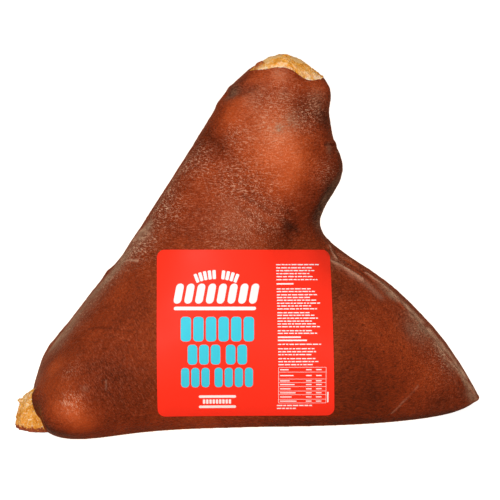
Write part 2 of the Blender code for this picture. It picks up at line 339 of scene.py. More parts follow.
# The ham's skin in fine squares, with its folds, dents and wrinkles.
def buildRindMesh():
    mesh = remeshed(solidHam(), rindShape["voxel"])
    points, _, edges = meshArrays(mesh)
    height = points[:, 2]
    zones = rindShape["zones"]
    held = (1.0 - rindShape["shankFreedom"]) * smoothStep(*zones["shank"], height)
    free = smoothStep(*zones["foot"], height) * (1.0 - held)
    points = relaxed(points, edges, rindShape["smoothing"], free)
    setPoints(mesh, points)
    skin = surfaceOf(mesh)
    points, normals, _ = meshArrays(mesh)
    height = points[:, 2]
    wall = smoothStep(*zones["walls"], height)
    pressed = 1.0 - label["press"] * labelShare(points)
    push = np.zeros(len(points))
    for scale, rise in rindShape["unevenness"]:
        push += rise * waves(points, scale, seed=scale * 900)
    grooves = rindShape["wrinkles"]
    wrinkle = np.abs(waves(points, grooves["scale"], 5.0, grooves["stretch"]))
    shin = smoothStep(*zones["shinLow"], height) * (1.0 - smoothStep(*zones["shinHigh"], height))
    push -= grooves["height"] * (1.0 - smoothStep(0.0, grooves["width"], wrinkle)) * shin
    push *= pressed
    for path, halfWidth, depth, lip in rindShape["folds"].values():
        line = [placeOn(skin, px, py) for px, py in path]
        away = pathDistance(points, line) / halfWidth
        push -= pressed * depth * (np.exp(-(away**2)) - lip * np.exp(-((away - rindShape["lipPlace"]) ** 2)))
    for px, py, radius, rise in rindShape["dents"].values():
        away = np.linalg.norm(points - placeOn(skin, px, py), axis=1) / radius
        push += rise * np.exp(-(away**2))
    push *= wall
    inCut = 1.0 - smoothStep(*zones["cut"], shankShare(points))
    inCut *= smoothStep(*zones["cutHeight"], height)
    push = push * (1.0 - inCut) - rindShape["cutSink"] * inCut
    rest = points.copy()
    points += normals * push[:, None]
    points[:, 2] -= rindShape["rimDrop"] * rimShare(points) * smoothStep(*zones["rim"], points[:, 2])
    centre = np.array(fat["centre"])
    points += (centre - points) * (fat["tuckUnder"] * fatShare(rest))[:, None]
    points[:, 2] = np.maximum(points[:, 2], 0.0)
    setPoints(mesh, np.clip(points, np.array(cadBox[0]), np.array(cadBox[1])))
    return mesh, skin, rest


rindMesh, smoothSkin, restPoints = buildRindMesh()
print("rind shaped:", len(rindMesh.vertices), "points")

# Broad tones of the skin, mostly painted highlights where its bulges face the light and painted shade in its
# hollows, creases and edges, with some lighter and darker patches of the smoked skin itself: place in the
# picture, radius in metres, and how much lighter or darker.
rindTonesAndPaintedLight = {
    "shankGlow": (275, 128, 0.021, 1.08),
    "shankGlowLow": (268, 158, 0.019, 0.6),
    "shankGlowRight": (302, 160, 0.012, 0.45),
    "shankGlowFoot": (284, 184, 0.012, 0.45),
    "shinBand": (240, 108, 0.01, 0.45),
    "shinBandLow": (228, 122, 0.008, 0.3),
    "shinWarm": (206, 180, 0.013, 0.3),
    "middle": (238, 214, 0.022, 0.3),
    "shinMiddle": (168, 226, 0.016, 0.08),
    "shinLow": (120, 296, 0.014, 0.45),
    "kneeTop": (54, 366, 0.009, 0.35),
    "rimFold": (235, 88, 0.008, -0.62),
    "rimFoldLeft": (228, 95, 0.005, -0.35),
    "rimBright": (278, 73, 0.007, 0.95),
    "rimBrightLeft": (258, 74, 0.007, 0.5),
    "rimBrightRight": (316, 86, 0.0075, 0.5),
    "rimShade": (308, 106, 0.012, -0.48),
    "heelEdge": (324, 118, 0.009, -0.7),
    "shinDimple": (218, 145, 0.009, -0.14),
    "shinDimpleHigh": (208, 136, 0.007, -0.3),
    "leftLow": (54, 368, 0.008, 0.4),
    "shinDimpleTail": (196, 152, 0.008, -0.3),
    "shinDimpleCore": (210, 146, 0.0044, -0.25),
    "waist": (330, 194, 0.012, -1.1),
    "waistLow": (318, 214, 0.011, -0.9),
    "ankleDimple": (290, 232, 0.008, -0.6),
    "heel": (336, 166, 0.008, -0.35),
    "brace": (292, 208, 0.012, -0.3),
    "shinDark": (122, 300, 0.018, -0.3),
    "kneeGlow": (69, 403, 0.0085, 0.55),
    "kneeGlowMiddle": (77, 412, 0.006, 0.3),
    "kneeGlowLow": (82, 421, 0.009, 0.5),
    "kneeGlowLeft": (58, 410, 0.008, 0.3),
    "kneeGlowHigh": (58, 384, 0.011, 0.3),
    "kneeSide": (33, 400, 0.005, -0.5),
    "kneeFront": (48, 430, 0.005, -0.4),
    "kneeBehind": (108, 380, 0.015, -0.35),
    "flankLow": (136, 402, 0.019, -0.32),
    "flankHigh": (108, 374, 0.014, -0.06),
    "underLabel": (204, 425, 0.013, 0.42),
    "bottomMiddle": (120, 430, 0.008, 0.25),
    "underLabelRight": (290, 424, 0.014, -0.3),
    "thighPatch": (409, 330, 0.006, -0.45),
    "thighGlow": (393, 342, 0.02, 0.25),
    "thighGlowLow": (430, 381, 0.013, 0.4),
    "thighDark": (356, 392, 0.028, -0.55),
    "thighEdge": (440, 405, 0.016, -0.35),
    "tip": (466, 398, 0.008, -0.25),
    "webGlow": (349, 260, 0.006, 0.5),
    "besideLabel": (344, 300, 0.012, -0.1),
}
# Long bands of painted shade in folds and creases, on the edges and along the bottom: path, half width and
# how much darker or lighter.
paintedShadeBands = {
    "underRim": (((224, 95), (236, 92), (250, 87)), 0.0026, -0.2),
    "heelCrease": (((326, 144.5), (329, 143.8), (335, 144)), 0.0009, -0.25),
    "webPocket": (((343, 262), (352, 267), (362, 273)), 0.0016, -0.3),
    "bellyFold": (((244, 196), (262, 207), (284, 221), (300, 232)), 0.0018, -0.42),
    "bellyFoldLow": (((236, 206), (254, 217), (274, 230)), 0.0018, -0.2),
    "bellyFoldHigh": (((252, 192), (272, 203), (294, 216)), 0.002, -0.18),
    "bottom": (((62, 434), (90, 433), (110, 432)), 0.003, -0.2),
    "bottomRight": (((300, 423), (350, 421), (400, 419), (450, 412)), 0.004, -0.3),
    "kneeSide": (((33, 396), (35, 408), (41, 420), (49, 429), (62, 433)), 0.0056, -0.42),
    "shinCrease": (((88, 328.5), (104, 327.5), (131, 331)), 0.0008, -0.4),
    "dimpleArc": (((206, 128), (212, 138), (222, 148)), 0.003, -0.22),
    "heelEdge": (((336, 150), (341, 162), (340, 174), (332, 186), (323, 200)), 0.0044, -0.4),
}
# Places with a dull grey bloom on the skin, partly dried fat and partly painted sheen of reflected light:
# place, radius and strength.
rindSheenAndBlooms = {
    "shinEdge": (68, 330, 0.013, 0.5),
    "shinEdgeMiddle": (97, 293, 0.013, 0.4),
    "shinEdgeHigh": (120, 264, 0.012, 0.45),
    "shinEdgeTop": (145, 234, 0.01, 0.35),
    "shankSpot": (279, 128.5, 0.0028, 0.6),
    "shankSpeckle": (293, 120, 0.007, 0.5),
    "rimSpeckle": (284, 96, 0.005, 0.35),
    "webEdge": (336, 262, 0.006, 0.45),
    "thighPatch": (416, 330, 0.01, 0.55),
    "waist": (324, 206, 0.005, 0.15),
    "tip": (472, 396, 0.0045, 0.4),
    "kneeScuff": (85, 389, 0.0022, 0.3),
    "rimFold": (232, 92, 0.006, 0.48),
    "rimPale": (279, 72, 0.006, 0.4),
    "rimFront": (256, 96, 0.01, 0.25),
    "rimFrontRight": (318, 98, 0.007, 0.35),
    "heelTop": (329, 148, 0.0035, 0.5),
    "shankPale": (270, 128, 0.013, 0.26),
    "middlePale": (236, 222, 0.015, 0.16),
}
# Places where the skin is smooth, or coarse when below zero: place, radius and how much of the grain goes.
smoothSkinAreas = {
    "shankGlow": (286, 156, 0.012, 0.75),
    "shankFoot": (292, 186, 0.011, 0.45),
    "kneeLow": (84, 428, 0.011, 0.35),
    "kneeHigh": (52, 376, 0.01, 0.35),
    "heel": (334, 176, 0.01, 0.5),
    "shinBand": (232, 116, 0.008, 0.45),
    "rim": (296, 88, 0.009, 0.4),
    "flank": (118, 366, 0.03, -0.12),
    "shin": (140, 300, 0.024, -0.25),
    "shankFront": (250, 172, 0.022, -0.4),
    "rimRight": (308, 112, 0.01, -0.35),
}
# Places where the wrinkles run down the leg at a slant: place, radius and strength.
slantedAreas = {
    "flank": (118, 372, 0.03, 1.0),
    "shin": (136, 310, 0.024, 0.9),
    "belly": (250, 226, 0.017, 0.8),
    "kneeBehind": (92, 360, 0.018, 0.9),
    "flankLow": (130, 410, 0.022, 0.9),
    "knee": (72, 396, 0.018, 1.0),
}
# Places strewn with short pale dashes, partly dried fat and partly painted glints of light on the grain:
# place, radius and strength.
rindSpecksAndGlints = {
    "shinLeft": (166, 208, 0.015, 0.6),
    "shinLeftLow": (142, 246, 0.013, 0.65),
    "shinEdgeTop": (132, 250, 0.008, 0.45),
    "shinEdgeHigh": (110, 278, 0.011, 0.65),
    "shinEdgeLow": (60, 344, 0.008, 0.45),
    "shinFold": (200, 166, 0.009, 0.45),
    "middle": (232, 182, 0.015, 0.5),
    "middleLow": (262, 218, 0.015, 0.6),
    "belly": (226, 232, 0.015, 0.35),
    "rimRight": (306, 114, 0.011, 0.5),
    "rimMiddle": (272, 108, 0.012, 0.35),
    "shankGlow": (276, 138, 0.018, 0.18),
    "rimFront": (290, 86, 0.012, 0.15),
    "shankMiddle": (262, 180, 0.018, 0.22),
    "dimple": (202, 150, 0.006, 0.4),
    "rimEdge": (318, 108, 0.008, 0.22),
    "shinHigh": (158, 206, 0.008, 0.6),
    "shinTop": (186, 164, 0.007, 0.5),
    "bandLow": (236, 136, 0.009, 0.45),
    "waist": (322, 218, 0.007, 0.5),
    "heel": (326, 172, 0.01, 0.3),
    "shinEdge": (80, 318, 0.014, 0.62),
    "kneeGlow": (71, 402, 0.0065, 0.7),
    "kneeHigh": (68, 370, 0.007, 0.28),
    "flank": (112, 372, 0.024, 0.03),
    "shinEdgeFoot": (66, 333, 0.008, 0.35),
    "thighDark": (362, 388, 0.032, -0.1),
    "web": (345, 262, 0.006, 0.3),
    "thighEdge": (442, 356, 0.014, 0.4),
}
# The same dashes along the leg's left edge: path, half width and strength.
speckBands = {
    "shin": (((192, 153), (174, 181), (155, 212), (136, 241), (110, 274), (82, 310), (60, 338)), 0.009, 0.34),
}
# Grey-brown films along the leg's edges, mostly painted sheen of reflected light where the skin turns away,
# partly a film of dried fat: path, half width and strength.
rindEdgeSheenFilms = {
    "thigh": (
        ((384, 286), (397, 298), (411, 312), (425, 328), (440, 346), (453, 364), (465, 382), (473, 393)),
        0.0064,
        1.0,
    ),
    "shin": (((52, 348), (70, 324), (90, 298), (110, 276), (128, 252), (146, 228)), 0.006, 0.9),
    "web": (((329, 246), (336, 252), (350, 260), (366, 271)), 0.002, 0.35),
    "shinHigh": (((147, 226), (158, 206), (174, 180), (188, 158)), 0.0036, 0.28),
    "heel": (((337, 150), (342, 162), (341, 174), (333, 186), (324, 200)), 0.0034, 0.26),
}
# Thin pale scratches, and along the web and thigh ridges pale lines of painted highlight: path, half width
# and strength.
rindScratchesAndRidgeLights = {
    "thigh": (((392, 413), (403, 402), (418, 386)), 0.0006, 0.22),
    "flank": (((106.3, 380), (106.5, 390)), 0.0004, 0.22),
    "webEnd": (((329, 246), (332, 252), (336, 259)), 0.0008, 0.5),
    "webLow": (((331, 260.5), (341, 266.5), (348, 270.5)), 0.0009, 0.42),
    "webLowEnd": (((345, 269), (352, 273), (362, 280)), 0.0014, 0.24),
    "webLowSoft": (((352, 274), (366, 283), (380, 296)), 0.0034, 0.18),
    "webTop": (((366, 272.5), (380, 284), (392, 293), (404, 307)), 0.0008, 0.5),
    "thighEdge": (((436, 343), (446, 357), (460, 375), (474, 394)), 0.001, 0.2),
    "shin": (((126, 261), (131, 260), (138, 261)), 0.0008, 0.6),
    "shinHigh": (((138, 232), (143, 230), (150, 234)), 0.0009, 0.45),
    "shinHighEnd": (((134, 241), (139, 238), (145, 240)), 0.0007, 0.35),
    "shinLow": (((102, 278), (107, 276), (113, 278)), 0.0008, 0.35),
}
# Pale patches strung along the leg's two edges, painted sheen of reflected light where the skin turns away:
# path, half width and strength.
edgeSheenBands = {
    "thigh": (
        ((398, 298), (413, 312), (429, 329), (444, 347), (457, 365), (470, 384), (475, 392)),
        0.0034,
        0.45,
    ),
    "shin": (((50, 350), (68, 325), (88, 298), (108, 275), (126, 251), (144, 227)), 0.0038, 0.28),
}


# The skin that the camera doesn't see: a lighter shank, and waves as their size, start and strength.
hiddenSkin = {
    "facing": (-0.3, 0.5),
    "patchCalm": 0.75,
    "slanted": 0.5,
    "glow": 0.28,
    "glowZone": (0.06, 0.18),
    "toneWaves": ((0.03, 0.5), (0.013, 0.32)),
    "bloomWaves": (0.034, 0.1, 0.6),
    "speckWaves": (0.026, -0.1, 0.8),
}
# All over the skin: the least dashes, and how the films and pale bands of painted sheen along the edges break
# up, as size, level and strength.
allSkin = {
    "leastSpecks": 0.05,
    "edgeSheenFilmWaves": (0.008, 0.88, 1.4),
    "bandWaves": (0.0045, 0.85, 1.5),
}


# Writes the masks that the skin's material reads: how light the skin is, painted highlights and painted shade
# included, where the bloom and the painted sheen, pale dashes and painted glints, scratches, painted ridge
# highlights and slanted wrinkles show, how coarse the grain is, and what shows on the base. Distances are
# taken on the skin as it is before its folds.
def paintRind(mesh, skin, rest):
    points, normals, _ = meshArrays(mesh)

    def spots(areas):
        total = np.zeros(len(points))
        for px, py, radius, strength in areas.values():
            away = np.linalg.norm(rest - placeOn(skin, px, py), axis=1) / radius
            total += strength * np.exp(-(away**2))
        return total

    def bandsAlong(paths):
        total = np.zeros(len(points))
        for path, halfWidth, strength in paths.values():
            line = [placeOn(skin, px, py) for px, py in path]
            total += strength * np.exp(-((pathDistance(rest, line) / halfWidth) ** 2))
        return total

    seen = smoothStep(*hiddenSkin["facing"], normals @ -np.array(lookWay))
    hidden = 1.0 - seen
    # the back and the sides get patches of the same kinds as the front
    patches = sum(rise * waves(points, scale, scale * 250) for scale, rise in hiddenSkin["toneWaves"])
    glow = hiddenSkin["glow"] * smoothStep(*hiddenSkin["glowZone"], points[:, 2])
    # the tone: painted highlights and painted shade at the listed places, and the skin's own patches
    tone = spots(rindTonesAndPaintedLight) + bandsAlong(paintedShadeBands)
    tone += patches * (1.0 - hiddenSkin["patchCalm"] * seen) + glow * hidden
    setMask(mesh, "tone", tone)
    scale, start, strength = hiddenSkin["bloomWaves"]
    sheenAndBloom = spots(rindSheenAndBlooms) + hidden * strength * np.clip(waves(points, scale, 23.0) - start, 0.0, 1.0)
    scale, start, strength = hiddenSkin["speckWaves"]
    backSpecks = hidden * strength * np.clip(waves(points, scale, 17.0) - start, 0.0, 1.0)
    setMask(mesh, "grainShare", 1.0 - np.clip(spots(smoothSkinAreas), -0.8, 1.0))
    slanted = spots(slantedAreas) * seen + hiddenSkin["slanted"] * hidden
    setMask(mesh, "slanted", np.clip(slanted, 0.0, 1.0))
    scale, level, strength = allSkin["edgeSheenFilmWaves"]
    sheenAndBloom += bandsAlong(rindEdgeSheenFilms) * (level + strength * waves(rest, scale, 12.0, (1.5, 1.0, 1.0)))
    scale, level, strength = allSkin["bandWaves"]
    bands = bandsAlong(edgeSheenBands) * (level + strength * waves(rest, scale, 31.0))
    setMask(mesh, "lines", np.clip(bandsAlong(rindScratchesAndRidgeLights) + bands, 0.0, 1.0))
    specks = allSkin["leastSpecks"] + spots(rindSpecksAndGlints) + bandsAlong(speckBands) + backSpecks
    setMask(mesh, "specks", np.clip(specks, 0.0, 1.0))
    setMask(mesh, "sheenAndBloom", np.clip(sheenAndBloom, 0.0, 1.0))
    # the base: where it is, how far from the walls, and how far from the bone's middle
    onBase = (points[:, 2] < 0.0006) & (normals[:, 2] < -0.8)
    walls = np.flatnonzero((points[:, 2] > 0.0025) & (points[:, 2] < 0.005))
    tree = KDTree(len(walls))
    for i in walls:
        tree.insert(Vector(points[i]), int(i))
    tree.balance()
    inward = np.zeros(len(points))
    for i in np.flatnonzero(onBase):
        inward[i] = tree.find(Vector(points[i]))[2]
    setMask(mesh, "cutFace", onBase.astype(float))
    setMask(mesh, "inward", inward)
    bone, _, _ = meshArrays(nodes["leg_bone"].data)
    foot = bone[bone[:, 2] < bone[:, 2].min() + 0.0002]
    middle, reach = (foot.max(0) + foot.min(0)) / 2, (foot.max(0) - foot.min(0)) / 2
    setMask(mesh, "boneReach", np.hypot(*((points[:, :2] - middle[:2]) / reach[:2]).T))


paintRind(rindMesh, smoothSkin, restPoints)
print("rind painted")


def newMaterial(name):
    made = bpy.data.materials.new(name)
    made.use_nodes = True
    return made, made.node_tree, made.node_tree.nodes["Principled BSDF"]


# Gives a socket a number, a vector, a colour or the output of another node.
def feed(socket, value):
    if isinstance(value, bpy.types.NodeSocket):
        socket.id_data.links.new(value, socket)
    else:
        socket.default_value = (*value, 1.0) if socket.type == "RGBA" else value


# Adds a shader node. Names of its settings set them, and names with an underscore first feed its sockets.
def addNode(tree, kind, **values):
    made = tree.nodes.new("ShaderNode" + kind)
    for key, value in values.items():
        if key.startswith("_"):
            feed(made.inputs[key[1:].replace("_", " ")], value)
        else:
            setattr(made, key, value)
    return made


# A math node whose inputs are numbers or the outputs of other nodes. It returns its output.
def mathNode(operation, *values, clamp=False):
    tree = next(value.id_data for value in values if isinstance(value, bpy.types.NodeSocket))
    made = addNode(tree, "Math", operation=operation, use_clamp=clamp)
    for socket, value in zip(made.inputs, values):
        feed(socket, value)
    return made.outputs[0]


def plus(a, b, clamp=False):
    return mathNode("ADD", a, b, clamp=clamp)


def minus(a, b, clamp=False):
    return mathNode("SUBTRACT", a, b, clamp=clamp)


def times(a, b, clamp=False):
    return mathNode("MULTIPLY", a, b, clamp=clamp)


def over(a, b, clamp=False):
    return mathNode("DIVIDE", a, b, clamp=clamp)


# A value times a factor, plus an amount.
def scaled(value, factor, amount, clamp=False):
    return mathNode("MULTIPLY_ADD", value, factor, amount, clamp=clamp)


def larger(a, b, clamp=False):
    return mathNode("MAXIMUM", a, b, clamp=clamp)


# Mixes two colours, each a socket or a plain colour, by the share that a socket gives. It returns the colour.
def mixColours(share, a, b):
    made = addNode(share.id_data, "Mix", data_type="RGBA", clamp_factor=True)
    for i, value in ((0, share), (6, a), (7, b)):
        feed(made.inputs[i], value)
    return made.outputs[2]


# A colour ramp with the given stops: pairs of place and colour.
def rampOf(share, stops):
    made = addNode(share.id_data, "ValToRGB")
    elements = made.color_ramp.elements
    while len(elements) < len(stops):
        elements.new(0.5)
    for element, (place, colour) in zip(elements, stops):
        element.position = place
        element.color = (*colour, 1.0)
    feed(made.inputs[0], share)
    return made.outputs[0]


def addBump(shader, height, strength, distance):
    bump = addNode(shader.id_data, "Bump", _Strength=strength, _Distance=distance, _Height=height)
    feed(shader.inputs["Normal"], bump.outputs[0])


def readMask(tree, name):
    return addNode(tree, "Attribute", attribute_name=name).outputs["Fac"]


# A new shader node group with float inputs and outputs, and the sockets inside it.
def groupOf(name, inputs, outputs):
    group = bpy.data.node_groups.new(name, "ShaderNodeTree")
    for title, value in inputs.items():
        socket = group.interface.new_socket(title, in_out="INPUT", socket_type="NodeSocketFloat")
        socket.default_value = value
    for title in outputs:
        group.interface.new_socket(title, in_out="OUTPUT", socket_type="NodeSocketFloat")
    return group, group.nodes.new("NodeGroupInput").outputs, group.nodes.new("NodeGroupOutput").inputs


# The place on the ham, turned in the plane of its front and then squeezed along each axis by the scale.
def stretchedPlace(tree, scale=(1.0, 1.0, 1.0), turn=0.0):
    place = addNode(tree, "TexCoord").outputs["Object"]
    if turn:
        place = addNode(tree, "Mapping", _Vector=place, _Rotation=(0.0, math.radians(turn), 0.0)).outputs[0]
    return addNode(tree, "Mapping", _Vector=place, _Scale=scale).outputs[0]


leather = {
    "inputs": {
        "Grain Size": 0.0014,
        "Wrinkle Size": 0.0008,
        "Slant": 0.0,
        "Pore Spacing": 0.0044,
        "Pore Width": 0.28,
    },
    "grain": {"feature": "SMOOTH_F1", "_Smoothness": 0.3, "_Randomness": 1.0},
    "grainStretch": (0.8, 0.8, 1.3),
    # wrinkles that run level, and wrinkles at a slant: turn in degrees, stretch and distortion
    "wrinkles": ((0.0, (0.32, 0.24, 1.12), 0.4), (-58.0, (0.28, 0.36, 1.3), 0.15)),
    "pores": {"feature": "F1", "_Randomness": 0.9},
}


# Fine leather grain, short wrinkles that run level or at a slant, and pores, as heights and masks.
def buildLeatherGroup():
    group, given, out = groupOf("leatherSkin", leather["inputs"], ("Grain", "Wrinkles", "Pores"))
    place = stretchedPlace(group, leather["grainStretch"])
    cells = addNode(group, "TexVoronoi", **leather["grain"], _Vector=place)
    feed(cells.inputs["Scale"], over(1.0, given["Grain Size"]))
    feed(out["Grain"], cells.outputs["Distance"])
    blend = addNode(group, "Mix")
    feed(blend.inputs[0], given["Slant"])
    for socket, (turn, stretch, distortion) in zip(blend.inputs[2:4], leather["wrinkles"]):
        lines = addNode(group, "TexNoise", _Detail=2.0, _Roughness=0.6, _Distortion=distortion)
        feed(lines.inputs["Vector"], stretchedPlace(group, stretch, turn))
        feed(lines.inputs["Scale"], over(1.0, given["Wrinkle Size"]))
        feed(socket, lines.outputs[0])
    feed(out["Wrinkles"], blend.outputs[0])
    spots = addNode(group, "TexVoronoi", **leather["pores"], _Vector=stretchedPlace(group))
    feed(spots.inputs["Scale"], over(1.0, given["Pore Spacing"]))
    feed(out["Pores"], minus(1.0, over(spots.outputs["Distance"], given["Pore Width"]), clamp=True))
    return group


# Cloudy patches at two sizes, from 0 to 1.
def buildMottleGroup():
    group, given, out = groupOf("mottle", {"Size": 0.012, "Fine Size": 0.003}, ("Clouds", "Specks"))
    for title, size, detail in (("Clouds", "Size", 4.0), ("Specks", "Fine Size", 1.0)):
        clouds = addNode(group, "TexNoise", _Detail=detail, _Roughness=0.6, _Vector=stretchedPlace(group))
        feed(clouds.inputs["Scale"], over(1.0, given[size]))
        feed(out[title], clouds.outputs[0])
    return group


leatherSkin = buildLeatherGroup()
mottle = buildMottleGroup()

rindFinish = {
    "tones": (
        (0.0, (0.024, 0.0052, 0.0022)),
        (0.22, (0.088, 0.0135, 0.0038)),
        (0.45, (0.205, 0.029, 0.0068)),
        (0.68, (0.35, 0.056, 0.012)),
        (0.88, (0.5, 0.098, 0.028)),
        (1.0, (0.64, 0.17, 0.07)),
    ),
    "toneRange": (0.36, 0.47),  # how far one step of the tone mask goes along the tones, and where it starts
    "cloudTone": 0.3,
    "speckTone": 0.34,
    "wrinkleTone": 0.42,
    "grainTone": 0.14,
    "grainLevel": 0.42,
    "slantedSpecks": -0.55,
    "slantedWrinkles": 0.1,
    "sheenBloomColour": (0.3, 0.165, 0.104),
    "sheenBloomSpecks": (1.8, 0.85),
    "sheenBloomWrinkles": 2.6,
    "sheenBloomClouds": (1.6, 1.0),
    "speckGlintColour": (0.7, 0.44, 0.3),
    "speckShare": 8.5,
    "speckStart": 0.552,
    "dustShare": 9.0,
    "dustStart": 0.594,
    "fineSize": 0.00066,
    "poreColour": (0.06, 0.012, 0.004),
    "poreShare": 0.9,
    "poresUnderDust": -8.0,
    # the base: meat, fat and the bone's end
    "meatTones": ((0.42, (0.4, 0.13, 0.085)), (0.62, (0.56, 0.26, 0.17))),
    "fatColour": (0.7, 0.42, 0.19),
    "fatWidth": 0.0135,
    "fatWobble": 0.008,
    "fatBlur": 0.002,
    "boneTones": ((0.56, (0.36, 0.14, 0.07)), (0.64, (0.72, 0.52, 0.3))),
    "boneWobble": 0.25,
    "boneEdge": 16.0,
    # the surface
    "wrinkleHeight": 1.0,
    "grainHeight": 0.55,
    "poreDepth": 0.3,
    "roughness": (0.24, 0.42),
    "gloss": 0.04,
    "bump": 0.00095,
}


def rindMaterial():
    made, tree, shader = newMaterial("smokedRind")
    slanted, grainShare, specks = (readMask(tree, name) for name in ("slanted", "grainShare", "specks"))
    skin = addNode(tree, "Group", node_tree=leatherSkin, _Slant=slanted).outputs
    clouds = addNode(tree, "Group", node_tree=mottle, _Fine_Size=rindFinish["fineSize"]).outputs
    cloud = minus(clouds["Clouds"], 0.5)
    speck = minus(clouds["Specks"], 0.5)
    wrinkle = times(minus(skin["Wrinkles"], 0.5), grainShare)
    grain = times(minus(rindFinish["grainLevel"], skin["Grain"]), grainShare)
    # the tone mask holds painted highlights and painted shade along with the skin's own patches
    tone = scaled(readMask(tree, "tone"), *rindFinish["toneRange"])
    # where the wrinkles slant, they show more than the specks
    calmSpeck = times(speck, scaled(slanted, rindFinish["slantedSpecks"], 1.0))
    clearWrinkle = times(wrinkle, scaled(slanted, rindFinish["slantedWrinkles"], 1.0))
    parts = {"cloudTone": cloud, "speckTone": calmSpeck, "wrinkleTone": clearWrinkle, "grainTone": grain}
    for strength, part in parts.items():
        tone = plus(tone, times(part, rindFinish[strength]))
    colour = rampOf(plus(tone, 0.0, clamp=True), rindFinish["tones"])
    # the grey-brown bloom, partly dried fat and partly painted sheen, which gathers in patches and on the
    # specks and wrinkles
    grainy = scaled(wrinkle, rindFinish["sheenBloomWrinkles"], scaled(speck, *rindFinish["sheenBloomSpecks"]))
    patchy = scaled(cloud, *rindFinish["sheenBloomClouds"])
    sheenAndBloom = times(readMask(tree, "sheenAndBloom"), times(grainy, patchy))
    colour = mixColours(sheenAndBloom, colour, rindFinish["sheenBloomColour"])
    # pale dashes on the wrinkles and dust between them, partly dried fat and partly painted glints, and the
    # lines: scratches, painted highlights on ridges and painted sheen along the edges
    dashes = times(minus(skin["Wrinkles"], rindFinish["speckStart"]), rindFinish["speckShare"], clamp=True)
    dust = times(minus(clouds["Specks"], rindFinish["dustStart"]), rindFinish["dustShare"], clamp=True)
    pale = larger(times(larger(dashes, dust), specks), readMask(tree, "lines"))
    colour = mixColours(pale, colour, rindFinish["speckGlintColour"])
    # dark pores, where no dust fills them
    pores = times(skin["Pores"], scaled(specks, rindFinish["poresUnderDust"], 1.0, clamp=True))
    colour = mixColours(times(pores, rindFinish["poreShare"]), colour, rindFinish["poreColour"])
    # the cut face under the ham: pink meat with pale threads inside a rim of fat
    inward = plus(readMask(tree, "inward"), times(clouds["Clouds"], rindFinish["fatWobble"]))
    pastFat = over(minus(inward, rindFinish["fatWidth"]), rindFinish["fatBlur"], clamp=True)
    meat = rampOf(clouds["Clouds"], rindFinish["meatTones"])
    cutColour = mixColours(pastFat, rindFinish["fatColour"], meat)
    # the leg bone's sawn end in it: marrow inside a pale ring
    boneReach = scaled(cloud, rindFinish["boneWobble"], readMask(tree, "boneReach"))
    inBone = times(minus(1.0, boneReach), rindFinish["boneEdge"], clamp=True)
    cutColour = mixColours(inBone, cutColour, rampOf(boneReach, rindFinish["boneTones"]))
    feed(shader.inputs["Base Color"], mixColours(readMask(tree, "cutFace"), colour, cutColour))
    smooth, rough = rindFinish["roughness"]
    feed(shader.inputs["Roughness"], scaled(clouds["Clouds"], rough - smooth, smooth))
    height = times(wrinkle, rindFinish["wrinkleHeight"])
    height = plus(height, times(grain, rindFinish["grainHeight"]))
    height = minus(height, times(pores, rindFinish["poreDepth"]))
    addBump(shader, height, 1.0, rindFinish["bump"])
    feed(shader.inputs["Specular IOR Level"], rindFinish["gloss"])
    return made


hamRind = pieceFrom(rindMesh, "hamRind", "rind", rindMaterial())
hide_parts("ham")
rindSkin = surfaceOf(rindMesh)
print("rind finished")

# The cut end of the shank: tissue and fat round the bone.
shankCut = {
    "rings": 60,
    "around": 220,
    "edge": 0.985,
    "edgeDip": 0.0007,
    "dipZone": (0.78, 0.97),
    "backStretch": 1.08,
    "level": 0.234,
    "step": (0.022, 0.041, 0.0102),
    "shoulder": (-0.001, 0.023, 0.0058),
    "dome": 0.0034,
    "heelRise": (0.038, 0.007, 0.0042),
    "crags": ((0.011, 0.0008), (0.0045, 0.0006), (0.0018, 0.00045), (0.0011, 0.00032)),
    "shred": {"place": (259.3, 66.5), "radius": 0.0034, "rise": 0.0029, "spread": 1.3},
}


# A rough dome that fills the rind's rim, and dips under the rind at its edge.
def buildShankCut():
    x, y = rindShape["shankCentre"]
    wide, deep = rindShape["shankReach"]
    spots = [(0.0, 0.0)]
    for i in range(1, shankCut["rings"] + 1):
        share = shankCut["edge"] * i / shankCut["rings"]
        for j in range(shankCut["around"]):
            angle = math.tau * j / shankCut["around"]
            spots.append((share * math.cos(angle), share * math.sin(angle)))
    spots = np.array(spots)
    share = np.linalg.norm(spots, axis=1)
    points = np.zeros((len(spots), 3))
    points[:, 0] = x + wide * spots[:, 0]
    points[:, 1] = y + deep * spots[:, 1] * np.where(spots[:, 1] > 0, shankCut["backStretch"], 1.0)
    start, end, drop = shankCut["step"]
    points[:, 2] = shankCut["level"] - drop * smoothStep(start, end, points[:, 0])
    start, end, drop = shankCut["shoulder"]
    points[:, 2] -= drop * (1.0 - smoothStep(start, end, points[:, 0]))
    points[:, 2] += shankCut["dome"] * (1.0 - share**2)
    place, reach, rise = shankCut["heelRise"]
    points[:, 2] += rise * np.exp(-(((points[:, 0] - place) / reach) ** 2)) * (1.0 - share**4)
    for scale, rise in shankCut["crags"]:
        points[:, 2] += rise * waves(points, scale, scale * 700)
    dip = rindShape["rimDrop"] * rimShare(points) + shankCut["edgeDip"]
    points[:, 2] -= dip * smoothStep(*shankCut["dipZone"], share)
    around = shankCut["around"]
    faces = [(0, 1 + j, 1 + (j + 1) % around) for j in range(around)]
    for i in range(shankCut["rings"] - 1):
        for j in range(around):
            k = (j + 1) % around
            a, b = 1 + i * around, 1 + (i + 1) * around
            faces.append((a + j, b + j, b + k, a + k))
    mesh = bpy.data.meshes.new("shankCut")
    mesh.from_pydata([tuple(point) for point in points], [], faces)
    shred = shankCut["shred"]
    away = np.linalg.norm(points - placeOn(surfaceOf(mesh), *shred["place"]), axis=1) / shred["radius"]
    points[:, 2] += shred["rise"] * np.exp(-(away**4))
    setPoints(mesh, points)
    setMask(mesh, "rimShare", share / shankCut["edge"])
    setMask(mesh, "meatShare", np.exp(-((away / shred["spread"]) ** 4)))
    return mesh


